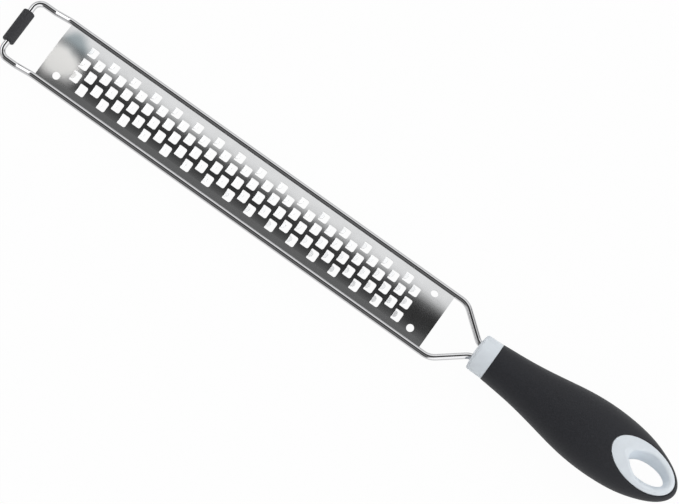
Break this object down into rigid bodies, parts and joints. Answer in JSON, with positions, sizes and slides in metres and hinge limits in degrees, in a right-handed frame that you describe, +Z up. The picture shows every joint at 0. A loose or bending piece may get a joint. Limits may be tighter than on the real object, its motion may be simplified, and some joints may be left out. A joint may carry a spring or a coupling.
{
  "type": "rasp zester",
  "caption": "Hand rasp for zesting: an arched, punched steel blade welded in a bent wire frame, with a rubber foot at the tip and a fat soft-grip handle with a hanging eye.",
  "frame": {"origin": "on the worktop, under the middle of the tool's length, where the foot's flat and the handle's belly stand at z = 0", "axes": "+X along the tool from the foot to the handle's end, +Y across it, +Z up out of the blade's toothed face"},
  "size_m": [0.339, 0.0316, 0.025],
  "materials": {
    "blade_steel": "bright rolled stainless sheet",
    "wire_steel": "polished stainless wire",
    "foot_rubber": "black rubber, matt",
    "core_plastic": "light grey, satin",
    "grip_rubber": "black soft grip, matt"
  },
  "bodies": {
    "root": {"blade": "blade_steel", "frame_wire": "wire_steel", "tip_foot": "foot_rubber", "handle_core": "core_plastic", "soft_grip": "grip_rubber"}
  },
  "joints": []
}
